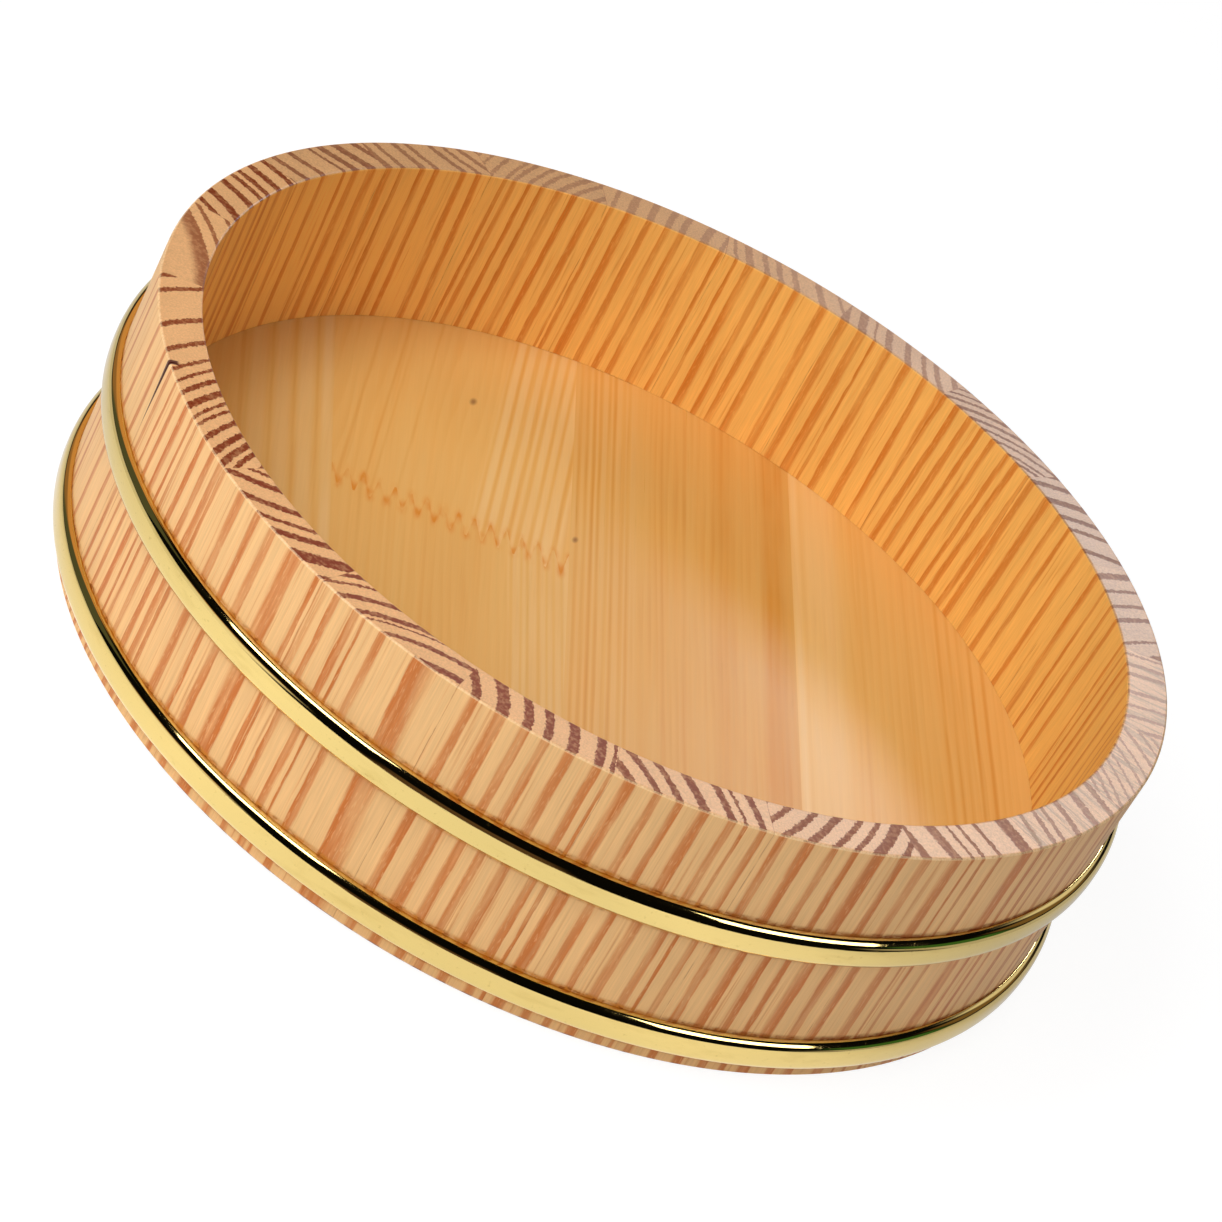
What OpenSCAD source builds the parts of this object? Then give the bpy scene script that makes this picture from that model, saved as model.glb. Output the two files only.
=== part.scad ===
// Hangiri, a shallow wooden tub for cooling and dressing sushi rice.
// Millimetres, +Z up, origin at the middle of the foot, front of the tub towards -Y.
// Upright staves stand in a ring, held by pegs in their joints and by two brass hoops.
// The floor is four pegged boards, whose edge sits in a groove (the croze) in the staves.

/* [Tub] */
// Outside diameter at the rim
rim_d = 300; // [240:1:390]
// Outside diameter at the foot, a little less, so that the hoops wedge tight
foot_d = 298; // [238:1:388]
// Height from the foot to the rim
tub_h = 78.5; // [70:0.5:120]
// Depth inside, from the rim to the floor
inside_depth = 52.5; // [40:0.5:56]

/* [Staves] */
// Number of staves in the wall
stave_count = 22; // [16:1:36]
// Direction of the first joint between staves, in degrees from +X
first_joint_angle = -147; // [-180:1:180]
// Wall thickness at the rim
rim_wall = 12.5; // [10:0.5:18]
// Wall thickness at the foot
foot_wall = 14; // [11:0.5:20]
// Radius of the rim's two rounded edges
rim_round = 0.7; // [0.2:0.1:3]
// Bevel of the foot's two edges
foot_bevel = 1; // [0.2:0.1:3]

/* [Open joint] */
// Width of the open joint at the rim's outer corner
open_joint_w = 0.6; // [0.2:0.1:1.5]
// How far the open joint runs down the outside of the wall
open_joint_drop = 22; // [5:1:26]
// How far the open joint runs in across the rim
open_joint_reach = 4; // [1:0.5:8]

/* [Floor] */
// Thickness of the floor boards
floor_t = 14; // [12:0.5:18]
// Thickness of the floor's edge where it sits in the croze
tongue_t = 9; // [6:0.5:11]
// Run of the bevel under the floor's edge
bevel_run = 6; // [2:0.5:15]
// Depth of the croze in the staves
croze_depth = 3.5; // [2:0.1:5]
// Clearance of the floor in the croze
croze_gap = 0.1; // [0:0.05:0.5]
// Turn of the boards' grain from the front-to-back line, in degrees
grain_turn_angle = 15; // [-90:1:90]
// Distance from the tub's middle to the leftmost joint, across the grain
left_joint_reach = 80; // [70:1:90]
// Turn of the leftmost joint from the other two, which are parallel, in degrees
left_joint_angle = 3.4; // [-5:0.1:5]
// Width of the finger-jointed board at its middle, to the right of that joint
finger_board_w = 71; // [60:1:80]
// Width of the middle board, to the right of the finger-jointed one
middle_board_w = 71; // [60:1:80]

/* [Finger joint] */
// Middle of the finger joint, along the grain from the tub's middle
finger_place = 21; // [10:1:60]
// Length of the fingers
finger_len = 10; // [3:0.5:15]
// Distance from finger to finger
finger_pitch = 4.8; // [3:0.1:12]
// Width of the flat tip of each finger
finger_tip = 0.6; // [0.2:0.1:1.2]

/* [Hoops] */
// Height of a hoop's section
hoop_h = 9.7; // [8:0.1:16]
// How far a hoop stands proud of the wall, which is also the radius of its rounded edges
hoop_proud = 3; // [1.5:0.1:3.8]
// Thickness of the brass sheet that a hoop is rolled from
hoop_sheet = 0.8; // [0.4:0.1:1.2]
// Height of the lower hoop's bottom edge above the foot
hoop_lift = 4.5; // [2:0.5:12]
// Distance between the middles of the two hoops
hoop_spacing = 37; // [20:0.5:44]
// Clearance of the hoops on the wall
hoop_gap = 0.03; // [0:0.01:0.2]

/* [Pegs] */
// Diameter of the pegs between staves
stave_peg_d = 4; // [2:0.5:6]
// Length of the pegs between staves
stave_peg_len = 24; // [12:1:32]
// Depth of the stave pegs' row below the rim
stave_peg_drop = 17; // [10:0.5:24]
// Diameter of the pegs between floor boards
board_peg_d = 4; // [2:0.5:6]
// Length of the pegs between floor boards
board_peg_len = 30; // [16:1:40]
// Distance along a board joint from one peg to the next
board_peg_spacing = 70; // [40:1:80]
// Clearance round a peg in its hole
peg_gap = 0.05; // [0.01:0.01:0.2]
// Clearance at each end of a peg in its hole
peg_end_gap = 0.5; // [0.1:0.1:2]

/* [Hidden] */
stave_angle = 360 / stave_count;
floor_top = tub_h - inside_depth;
floor_bottom = floor_top - floor_t;
tongue_bottom = floor_top - tongue_t;
lower_hoop_z = hoop_lift + hoop_h / 2;
upper_hoop_z = lower_hoop_z + hoop_spacing;
stave_peg_z = tub_h - stave_peg_drop;
board_peg_z = floor_top - floor_t / 2;
board_peg_rows = [-board_peg_spacing, 0, board_peg_spacing];
left_joint = -left_joint_reach;
middle_joint = left_joint + finger_board_w;
right_joint = middle_joint + middle_board_w;
board_joints = [[left_joint, left_joint_angle], [middle_joint, 0], [right_joint, 0]];
// Half the height of the flat face between a hoop's rounded edges
hoop_flat = hoop_h / 2 - hoop_proud;
// Half the side of a square that covers the whole tub in plan
beyond = rim_d;
round_fn = 264;
section_fn = 64;
peg_fn = 32;
edge_steps = 5;

function outer_r(z) = (foot_d + (rim_d - foot_d) * z / tub_h) / 2;
function wall_t(z) = foot_wall + (rim_wall - foot_wall) * z / tub_h;
function inner_r(z) = outer_r(z) - wall_t(z);
function middle_r(z) = outer_r(z) - wall_t(z) / 2;
function joint_angle(i) = first_joint_angle + (i - 1) * stave_angle;
function two_digits(i) = str(i < 10 ? "0" : "", i);
function stave_name(i) = str("stave_", two_digits(i));
function arc(x, z, r, from, to) = [
    for (i = [0:edge_steps])
        let (a = from + (to - from) * i / edge_steps)
        [x + r * cos(a), z + r * sin(a)]
];
// Place across the grain of a joint between boards, at a place along the grain
function joint_x(joint, y) = joint[0] - y * tan(joint[1]);
// The line of finger tips and roots across a board, from its left edge to its right edge
function fingers(left, right) =
    let (n = max(1, round((right - left) / finger_pitch)))
    let (w = (right - left) / n)
    let (low = finger_place - finger_len / 2)
    let (high = finger_place + finger_len / 2)
    concat(
        [[left, high]],
        [
            for (i = [0:n - 1])
                for (p = [
                    [finger_tip / 2, high],
                    [(w - finger_tip) / 2, low],
                    [(w + finger_tip) / 2, low],
                    [w - finger_tip / 2, high]
                ])
                    [left + i * w + p[0], p[1]]
        ],
        [[right, high]]
    );

stave_names = [for (i = [1:stave_count]) stave_name(i)];

// Section of the wall: tapered faces, rounded rim, bevelled foot, croze cut inside
module wall_section() {
    outer_round_x = outer_r(tub_h) - rim_round;
    inner_round_x = inner_r(tub_h) + rim_round;
    croze_r = inner_r(floor_top) + croze_depth;
    croze_top = floor_top + croze_gap;
    polygon(concat(
        [
            [inner_r(foot_bevel), foot_bevel],
            [inner_r(0) + foot_bevel, 0],
            [outer_r(0) - foot_bevel, 0],
            [outer_r(foot_bevel), foot_bevel]
        ],
        arc(outer_round_x, tub_h - rim_round, rim_round, 0, 90),
        arc(inner_round_x, tub_h - rim_round, rim_round, 90, 180),
        [
            [inner_r(croze_top), croze_top],
            [croze_r, croze_top],
            [croze_r, tongue_bottom],
            [inner_r(tongue_bottom), tongue_bottom]
        ]
    ));
}

// One peg, or with clearances its hole, square across the joint in the plane Y = 0
module peg_across(d, length) {
    rotate([90, 0, 0])
        cylinder(d = d, h = length, center = true, $fn = peg_fn);
}

module stave_peg(gap = 0, end_gap = 0) {
    translate([middle_r(stave_peg_z), 0, stave_peg_z])
        peg_across(stave_peg_d + 2 * gap, stave_peg_len + 2 * end_gap);
}

// The sliver missing from a stave's corner where its joint has opened. The slanting plane
// cuts the joint face at the reach and the drop. The corner is moved out past the wood.
module open_joint() {
    past = 0.25;
    grown = 1 + 3 * past;
    corner = [
        outer_r(tub_h) + past * open_joint_reach,
        -past * open_joint_w,
        tub_h + past * open_joint_drop
    ];
    polyhedron(
        points = [
            corner,
            corner - [grown * open_joint_reach, 0, 0],
            corner + [0, grown * open_joint_w, 0],
            corner - [0, 0, grown * open_joint_drop]
        ],
        faces = [[0, 1, 2], [0, 2, 3], [0, 3, 1], [1, 3, 2]]
    );
}

module stave(i) {
    color("burlywood")
        rotate([0, 0, joint_angle(i)])
            difference() {
                rotate_extrude(angle = stave_angle, $fn = round_fn)
                    wall_section();
                stave_peg(peg_gap, peg_end_gap);
                rotate([0, 0, stave_angle])
                    stave_peg(peg_gap, peg_end_gap);
                if (i == 1)
                    open_joint();
            }
}

module stave_pegs() {
    color("khaki")
        for (i = [1:stave_count])
            rotate([0, 0, joint_angle(i)])
                stave_peg();
}

// The whole floor as one disc, bevelled underneath down from the tongue in the croze
module floor_disc() {
    edge_r = inner_r(floor_top) + croze_depth - croze_gap;
    tongue_r = inner_r(tongue_bottom) - croze_gap;
    rotate_extrude($fn = round_fn)
        polygon([
            [0, floor_bottom],
            [tongue_r - bevel_run, floor_bottom],
            [tongue_r, tongue_bottom],
            [edge_r, tongue_bottom],
            [edge_r, floor_top],
            [0, floor_top]
        ]);
}

module board_peg(gap = 0, end_gap = 0) {
    rotate([0, 0, 90])
        peg_across(board_peg_d + 2 * gap, board_peg_len + 2 * end_gap);
}

// Puts its child at each place where a peg crosses a joint between floor boards
module at_board_pegs() {
    for (joint = board_joints)
        for (y = board_peg_rows)
            translate([joint_x(joint, y), y, board_peg_z])
                rotate([0, 0, joint[1]])
                    children();
}

// The part of the floor inside an outline, drawn with the grain along Y
module floor_board(outline) {
    color("navajowhite")
        rotate([0, 0, grain_turn_angle])
            difference() {
                intersection() {
                    floor_disc();
                    linear_extrude(height = tub_h)
                        polygon(outline);
                }
                at_board_pegs()
                    board_peg(peg_gap, peg_end_gap);
            }
}

// A point of a joint's line, at a place along the grain
function on_joint(joint, y) = [joint_x(joint, y), y];
// The two ends of a joint's line, both past the tub
function joint_line(joint) = [on_joint(joint, -beyond), on_joint(joint, beyond)];
finger_line = fingers(
    joint_x(board_joints[0], finger_place + finger_len / 2),
    middle_joint
);

module floor_board_left() {
    floor_board(concat([[-beyond, beyond], [-beyond, -beyond]], joint_line(board_joints[0])));
}

module floor_board_near() {
    floor_board(concat(
        finger_line,
        [[middle_joint, -beyond], on_joint(board_joints[0], -beyond)]
    ));
}

module floor_board_far() {
    floor_board(concat(
        finger_line,
        [[middle_joint, beyond], on_joint(board_joints[0], beyond)]
    ));
}

module floor_board_middle() {
    floor_board(concat(
        [[middle_joint, beyond], [middle_joint, -beyond]],
        joint_line(board_joints[2])
    ));
}

module floor_board_right() {
    floor_board(concat(
        [on_joint(board_joints[2], beyond), on_joint(board_joints[2], -beyond)],
        [[beyond, -beyond], [beyond, beyond]]
    ));
}

module board_pegs() {
    color("khaki")
        rotate([0, 0, grain_turn_angle])
            at_board_pegs()
                board_peg();
}

// The plane outside the wall in section, cut off at the hoop's clearance from the wood
module outside_wall() {
    low = -hoop_h;
    high = tub_h + hoop_h;
    polygon([
        [outer_r(low) + hoop_gap, low],
        [beyond, low],
        [beyond, high],
        [outer_r(high) + hoop_gap, high]
    ]);
}

// A hoop's section before it is cut off at the wall: a flat face between two rounded edges
module hoop_outline(r) {
    for (side = [-1, 1])
        translate([0, side * hoop_flat])
            circle(r = r, $fn = section_fn);
    translate([0, -hoop_flat])
        square([r, 2 * hoop_flat]);
}

// A hoop rolled from sheet brass, hollow behind and resting on its two edges
module hoop(z) {
    color("gold")
        rotate_extrude($fn = round_fn)
            intersection() {
                translate([outer_r(z) + hoop_gap, z])
                    difference() {
                        hoop_outline(hoop_proud);
                        hoop_outline(hoop_proud - hoop_sheet);
                    }
                outside_wall();
            }
}

module upper_hoop() {
    hoop(upper_hoop_z);
}

module lower_hoop() {
    hoop(lower_hoop_z);
}

for (i = [1:stave_count])
    stave(i);
floor_board_left();
floor_board_far();
floor_board_near();
floor_board_middle();
floor_board_right();
upper_hoop();
lower_hoop();
stave_pegs();
board_pegs();
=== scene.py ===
"""The looks of a hangiri, a coopered wooden tub for sushi rice.

The staves and floor boards keep their solids and get wood that is worked out from its growth rings,
so that end grain and long grain agree along every edge. The two hoops are made anew as fine brass bands.
Sizes are in millimetres in the shaders and in metres on the objects.
"""

import enum
import logging
import math
import random
from dataclasses import dataclass

import bpy
from mathutils import Matrix, Vector


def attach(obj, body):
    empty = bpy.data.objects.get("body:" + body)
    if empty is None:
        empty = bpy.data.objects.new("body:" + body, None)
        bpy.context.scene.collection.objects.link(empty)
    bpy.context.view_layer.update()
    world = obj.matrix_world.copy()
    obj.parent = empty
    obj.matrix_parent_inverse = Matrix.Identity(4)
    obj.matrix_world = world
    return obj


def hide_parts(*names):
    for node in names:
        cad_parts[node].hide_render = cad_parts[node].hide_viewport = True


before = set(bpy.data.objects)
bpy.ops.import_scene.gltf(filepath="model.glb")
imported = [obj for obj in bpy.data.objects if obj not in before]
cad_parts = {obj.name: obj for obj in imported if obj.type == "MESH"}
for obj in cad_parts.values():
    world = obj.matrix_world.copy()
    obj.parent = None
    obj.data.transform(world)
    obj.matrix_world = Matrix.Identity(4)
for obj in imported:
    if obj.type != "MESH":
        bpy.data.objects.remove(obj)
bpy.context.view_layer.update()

log = logging.getLogger("hangiri")

MM = 0.001
RIM_R = 150.0
RIM_INNER_R = 137.5
WALL_MIDDLE_R = 143.0
RIM_Z = 78.5
FLOOR_Z = 26.0
STAVE_COUNT = 22
STAVE_ANGLE = 360.0 / STAVE_COUNT
FIRST_JOINT = -147.0
OPEN_JOINT_DROP = 22.0
HOOP_HEIGHT = 9.7
HOOP_SPACING = 37.0
HOOPS_MIDDLE_Z = 4.5 + HOOP_HEIGHT / 2 + HOOP_SPACING / 2

Colour = tuple[float, float, float]


def linear(red: int, green: int, blue: int) -> Colour:
    """Turns a colour as a paint chart gives it, 0 to 255, into the renderer's linear values.

    Args:
        red: The red share, 0 to 255.
        green: The green share, 0 to 255.
        blue: The blue share, 0 to 255.

    Returns:
        The same colour in linear light.
    """

    def one(part: int) -> float:
        """Takes one share from the chart's curve to linear light."""
        v = part / 255
        return v / 12.92 if v <= 0.04045 else ((v + 0.055) / 1.055) ** 2.4

    return one(red), one(green), one(blue)


@dataclass(frozen=True)
class Texture:
    """A noise pattern, around nought, and from about -0.5 to 0.5.

    The size is that of its features along x, y and z, in millimetres. The shift is added to a piece's seed, so
    that no two patterns lie alike. The detail is how many finer layers are added, and rough how strong they are.
    The span, where there is one, eases it as Wire.step does, and the amount says how strong it is at the end.
    """

    size: Colour
    shift: float = 0.0
    detail: float = 2.0
    rough: float = 0.5
    span: tuple[float, ...] = ()
    amount: float = 1.0


class Wire:
    """A node's output, in a material or in Geometry Nodes, that can be used in Python arithmetic."""

    def __init__(self, tree: "Tree", socket: bpy.types.NodeSocket) -> None:
        """Wraps a socket.

        Args:
            tree: The tree that the socket belongs to.
            socket: The output socket.
        """
        self.tree = tree
        self.socket = socket

    def _maths(self, operation: str, *values: "Wire | float") -> "Wire":
        """Adds one Math node and returns its result."""
        return self.tree.node("ShaderNodeMath", {"operation": operation}, dict(enumerate(values)))

    def __add__(self, other: "Wire | float") -> "Wire":
        """Adds."""
        return self._maths("ADD", self, other)

    __radd__ = __add__

    def __sub__(self, other: "Wire | float") -> "Wire":
        """Subtracts a value from this one."""
        return self._maths("SUBTRACT", self, other)

    def __rsub__(self, other: float) -> "Wire":
        """Subtracts this value from a number."""
        return self._maths("SUBTRACT", other, self)

    def __mul__(self, other: "Wire | float") -> "Wire":
        """Multiplies."""
        return self._maths("MULTIPLY", self, other)

    __rmul__ = __mul__

    def __truediv__(self, other: "Wire | float") -> "Wire":
        """Divides this value by another."""
        return self._maths("DIVIDE", self, other)

    def __abs__(self) -> "Wire":
        """Drops the sign."""
        return self._maths("ABSOLUTE", self)

    def larger(self, other: "Wire | float") -> "Wire":
        """Returns the larger of the two values."""
        return self._maths("MAXIMUM", self, other)

    def smaller(self, other: "Wire | float") -> "Wire":
        """Returns the smaller of the two values."""
        return self._maths("MINIMUM", self, other)

    def fraction(self) -> "Wire":
        """Returns what is left after the whole number."""
        return self._maths("FRACT", self)

    def above(self, limit: float) -> "Wire":
        """Returns one where this value is above a limit, and nought elsewhere."""
        return self._maths("GREATER_THAN", self, limit)

    def below(self, limit: float) -> "Wire":
        """Returns one where this value is below a limit, and nought elsewhere."""
        return self._maths("LESS_THAN", self, limit)

    def root(self) -> "Wire":
        """Returns the square root."""
        return self._maths("SQRT", self)

    def cosine(self) -> "Wire":
        """Returns the cosine."""
        return self._maths("COSINE", self)

    def sine(self) -> "Wire":
        """Returns the sine."""
        return self._maths("SINE", self)

    def span(self, start: float, end: float) -> "Wire":
        """Returns the share of the way from start to end, held within nought and one."""
        return ((self - start) / (end - start)).smaller(1.0).larger(0.0)

    def turn_over(self, other: "Wire") -> "Wire":
        """Returns the angle whose rise is this value and whose run is the other, in radians."""
        return self._maths("ARCTAN2", self, other)

    def swing(self, reach: float) -> "Wire":
        """Returns a value that runs up to reach and back down, over and over."""
        return self._maths("PINGPONG", self, reach)

    def step(self, start: float, end: float, low: float = 0.0, high: float = 1.0) -> "Wire":
        """Eases from low to high as this value goes from start to end.

        Args:
            start: Where the change starts.
            end: Where the change ends.
            low: The result before the start.
            high: The result after the end.

        Returns:
            The eased value.
        """
        if start > end:
            start, end, low, high = end, start, high, low
        return self.tree.node(
            "ShaderNodeMapRange",
            {"interpolation_type": "SMOOTHSTEP"},
            {"Value": self, "From Min": start, "From Max": end, "To Min": low, "To Max": high},
        )


class Tree:
    """A node tree, filled in from Python expressions."""

    def __init__(self, tree: bpy.types.NodeTree) -> None:
        """Empties a tree.

        Args:
            tree: The tree.
        """
        self.tree = tree
        tree.nodes.clear()

    def _feed(self, socket: bpy.types.NodeSocket, value: object) -> None:
        """Links a wire to a socket, or sets a number, colour, vector or material on it.

        Args:
            socket: The input socket.
            value: What it gets.
        """
        if isinstance(value, Wire):
            self.tree.links.new(value.socket, socket)
        elif socket.type == "RGBA" and len(value) == 3:
            socket.default_value = (*value, 1.0)
        else:
            socket.default_value = value

    def node(self, kind: str, settings: dict | None = None, inputs: dict | None = None, output: int | str = 0) -> Wire:
        """Adds any node.

        Args:
            kind: The node's type.
            settings: What is set on the node first. "stops" holds a ramp's (place, colour) pairs.
            inputs: The value or wire of each socket, by its name or number.
            output: The name or number of the socket that is returned.

        Returns:
            The chosen output.
        """
        node = self.tree.nodes.new(kind)
        for key, value in (settings or {}).items():
            if key == "stops":
                self._fill_ramp(node.color_ramp, value)
            else:
                setattr(node, key, value)
        for key, value in (inputs or {}).items():
            self._feed(node.inputs[key], value)
        return Wire(self, node.outputs[output])

    @staticmethod
    def _fill_ramp(ramp: bpy.types.ColorRamp, stops: list[tuple[float, float]]) -> None:
        """Sets a ramp's stops.

        Args:
            ramp: The ramp.
            stops: The place and grey level of each stop, from nought to one.
        """
        while len(ramp.elements) < len(stops):
            ramp.elements.new(0.5)
        for element, (place, grey) in zip(ramp.elements, stops):
            element.position = place
            element.color = (grey, grey, grey, 1.0)

    def parts(self, vector: Wire) -> tuple[Wire, Wire, Wire]:
        """Returns a vector's three parts."""
        split = self.node("ShaderNodeSeparateXYZ", {}, {0: vector})
        outputs = split.socket.node.outputs
        return split, Wire(self, outputs[1]), Wire(self, outputs[2])

    def vector(self, x: "Wire | float", y: "Wire | float", z: "Wire | float") -> Wire:
        """Joins three values into a vector."""
        return self.node("ShaderNodeCombineXYZ", {}, {0: x, 1: y, 2: z})

    def end(self, kind: str, result: Wire) -> None:
        """Links a result to the tree's output node.

        Args:
            kind: The output node's type.
            result: The result.
        """
        output = self.tree.nodes.new(kind)
        self.tree.links.new(result.socket, output.inputs[0])


class SheetKind(enum.Enum):
    """What a sheet is the node tree of, as its output node is called."""

    MATERIAL = "Material"
    WORLD = "World"


class Sheet(Tree):
    """The node tree of a material or of the world."""

    def __init__(self, name: str, kind: SheetKind = SheetKind.MATERIAL) -> None:
        """Makes an empty material or world.

        Args:
            name: Its name.
            kind: Which of the two it is.
        """
        self.kind = kind
        self.material = (bpy.data.materials if kind is SheetKind.MATERIAL else bpy.data.worlds).new(name)
        self.material.use_nodes = True
        super().__init__(self.material.node_tree)

    def point(self) -> Wire:
        """Returns the surface point in millimetres in the tub's frame."""
        place = self.node("ShaderNodeTexCoord", output="Object")
        return self.node("ShaderNodeVectorMath", {"operation": "SCALE"}, {0: place, "Scale": 1 / MM})

    def turned(self, point: Wire, degrees: float, shift: Colour = (0, 0, 0)) -> Wire:
        """Turns a point about the tub's axis and then moves it.

        Args:
            point: The point.
            degrees: The turn, anticlockwise from above.
            shift: How far it moves after the turn.

        Returns:
            The new point.
        """
        inputs = {"Vector": point, "Location": shift, "Rotation": (0, 0, math.radians(degrees))}
        return self.node("ShaderNodeMapping", {}, inputs)

    def length(self, x: Wire, y: Wire) -> Wire:
        """Returns the length of a line that runs x one way and y the other."""
        return self.node("ShaderNodeVectorMath", {"operation": "LENGTH"}, {0: self.vector(x, y, 0.0)}, "Value")

    def noise(self, point: Wire, texture: Texture, seed: float = 0.0) -> Wire:
        """Returns noise at a point.

        Args:
            point: The point, in millimetres.
            texture: The pattern.
            seed: Moves the pattern, so that no two pieces are alike.

        Returns:
            The noise, eased where the texture has a span.
        """
        place = seed + texture.shift
        scale = tuple(1 / size for size in texture.size)
        moved = {"Vector": point, "Location": (place, place * 0.7, place * 1.3), "Scale": scale}
        scaled = self.node("ShaderNodeMapping", {}, moved)
        inputs = {"Vector": scaled, "Scale": 1.0, "Detail": texture.detail, "Roughness": texture.rough}
        value = self.node("ShaderNodeTexNoise", {"noise_dimensions": "3D"}, inputs) - 0.5
        if texture.span:
            value = value.step(*texture.span)
        return value if texture.amount == 1.0 else value * texture.amount

    def mix(self, share: "Wire | float", first: object, second: object) -> Wire:
        """Mixes two colours.

        Args:
            share: How much of the second colour shows.
            first: The first colour or wire.
            second: The second colour or wire.

        Returns:
            The mixed colour.
        """
        settings = {"data_type": "RGBA", "blend_type": "MIX", "clamp_factor": True}
        return self.node("ShaderNodeMix", settings, {0: share, 6: first, 7: second}, 2)

    def brighter(self, colour: object, amount: Wire) -> Wire:
        """Multiplies a colour by a value around one."""
        return self.node("ShaderNodeVectorMath", {"operation": "SCALE"}, {0: colour, "Scale": amount})

    def finish(self, inputs: dict, height: Wire, relief: float) -> bpy.types.Material:
        """Ends the material in a principled surface.

        Args:
            inputs: The surface's sockets by name.
            height: The bump's height, in shares of the relief.
            relief: The bump's depth in millimetres.

        Returns:
            The material.
        """
        bump = self.node("ShaderNodeBump", {}, {"Strength": 1.0, "Distance": relief * MM, "Height": height})
        self.shade(self.node("ShaderNodeBsdfPrincipled", {}, {**inputs, "Normal": bump}))
        return self.material

    def shade(self, shader: Wire) -> None:
        """Links a shader to the output."""
        self.end(f"ShaderNodeOutput{self.kind.value}", shader)

    def rays(self) -> tuple[Wire, Wire]:
        """Tells by which rays a surface is seen.

        Returns:
            One where it is seen at all, straight or in a mirror or glass, and one where it is in a mirror.
        """
        straight, mirrored, through = (
            self.node("ShaderNodeLightPath", output=f"Is {kind} Ray") for kind in ("Camera", "Glossy", "Transmission")
        )
        return straight.larger(mirrored).larger(through), mirrored


def set_material(piece: bpy.types.Object, material: bpy.types.Material) -> None:
    """Gives a piece one material.

    Args:
        piece: The object.
        material: Its new material.
    """
    if piece.data.materials:
        for index in range(len(piece.data.materials)):
            piece.data.materials[index] = material
    else:
        piece.data.materials.append(material)


class GeometryTree(Tree):
    """A Geometry Nodes tree."""

    def __init__(self, name: str) -> None:
        """Makes an empty tree with a geometry output.

        Args:
            name: The tree's name.
        """
        super().__init__(bpy.data.node_groups.new(name, "GeometryNodeTree"))
        self.tree.interface.new_socket("Geometry", in_out="OUTPUT", socket_type="NodeSocketGeometry")
        self.source = self.tree.nodes.new("NodeGroupInput")

    def number(self, name: str, default: float) -> Wire:
        """Adds a named size to the tree's inputs.

        Args:
            name: The size's name.
            default: Its value when none is given.

        Returns:
            The size.
        """
        socket = self.tree.interface.new_socket(name, in_out="INPUT", socket_type="NodeSocketFloat")
        socket.default_value = default
        return Wire(self, self.source.outputs[name])


class Face(enum.Enum):
    """The edge of the rim on which a stave's dark lines were read."""

    OUTER = RIM_R
    INNER = RIM_INNER_R


@dataclass(frozen=True)
class Grain:
    """How one stave was cut from its log.

    The pith is the middle of the tree's rings. It lies this far outwards and this far round from the middle
    of the stave, in millimetres. The lines are the dark latewood bands, each at an angle round the rim and
    with a width in degrees. Fill is the distance at which more bands follow beyond them, and fade is how far
    the line nearest to the pith fades out towards it, both in millimetres.
    """

    pith_out: float
    pith_round: float
    lines: tuple[tuple[float, float], ...]
    face: Face = Face.OUTER
    tone: float = 0.0
    fill: float = 0.0
    fade: float = 0.0


# Where a latewood band starts, is dark, is still dark and is gone, and how dark it is
Band = tuple[float, float, float, float, float]


@dataclass(frozen=True)
class SoftwoodFinish:
    """Planed softwood: pale earlywood, darker latewood, and both again on the end grain."""

    early: Colour
    late: Colour
    end_early: Colour
    end_late: Colour
    # Inside colours, more saturated orange than the outside as painted bounce light between the walls
    inside_bounce_early: Colour
    inside_bounce_late: Colour
    joint: Colour
    # The colour of the painted highlight on the rim's rounded outer edge
    edge: Colour
    crack: Colour
    burnished: Colour
    # The colours of the painted shade along the hoops' edges, light and deep
    hoop_edge_shade: Colour
    hoop_edge_shade_deep: Colour
    roughness: float = 0.5
    late_smoothness: float = 0.08
    end_smoothness: float = 0.14
    fibre_roughness: float = 0.1
    fibre_tone: float = 0.3
    cloud_tone: float = 0.12
    end_cloud_tone: float = 0.22
    pore_tone: float = 0.5
    # How strongly the painted highlight on the rim's rounded edge shows
    edge_highlight_share: float = 0.35
    crack_share: float = 0.95
    # How dark the painted shade along the hoops is over earlywood and over latewood
    edge_shade_early: float = 0.85
    edge_shade_late: float = 0.3
    gloss: float = 0.25
    relief: float = 0.05
    fibre_height: float = 0.6
    pore_height: float = 0.5
    wander: Texture = Texture((16, 16, 90), amount=0.8)
    ripple: Texture = Texture((3, 3, 26), 5, amount=0.4)
    tremor: Texture = Texture((0.8, 0.8, 9), 7, 1.0, amount=0.6)
    torn: Texture = Texture((0.9, 0.9, 0.9), 9, 1.0, amount=1.3)
    fibre: Texture = Texture((0.4, 0.4, 18), 11, 1.0, 0.65)
    streak: Texture = Texture((2.2, 2.2, 60), 23, amount=0.14)
    cloud: Texture = Texture((16, 16, 40), 31)
    pores: Texture = Texture((0.6, 0.6, 0.6), 41, 1.0, 0.7)
    fleck: Texture = Texture((0.35, 0.35, 3.0), 43, 1.0, span=(0.08, 0.2), amount=0.35)
    uneven: Texture = Texture((2.5, 2.5, 34), 47, span=(-0.22, 0.1, 0.55, 1.0))
    glue: Texture = Texture((9, 9, 6), 53, span=(-0.1, 0.14, 0.0, 0.6))
    thin_lines: Texture = Texture((1.0, 1.0, 80), 61, span=(0.06, 0.24, 0.0, 0.45))
    worn: Texture = Texture((1.4, 1.4, 1.4), 67, span=(-0.22, 0.08, 0.7, 1.0))
    blotch: Texture = Texture((1.5, 2.6, 1.5), 71, span=(-0.14, 0.1, 0.45, 1.0))
    spots: Texture = Texture((1.1, 1.8, 1.1), 73, span=(0.02, 0.14), amount=0.8)
    smear: Texture = Texture((14, 1.6, 14), 81, 3.0, 0.6, (-0.05, 0.14), 0.7)


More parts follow.
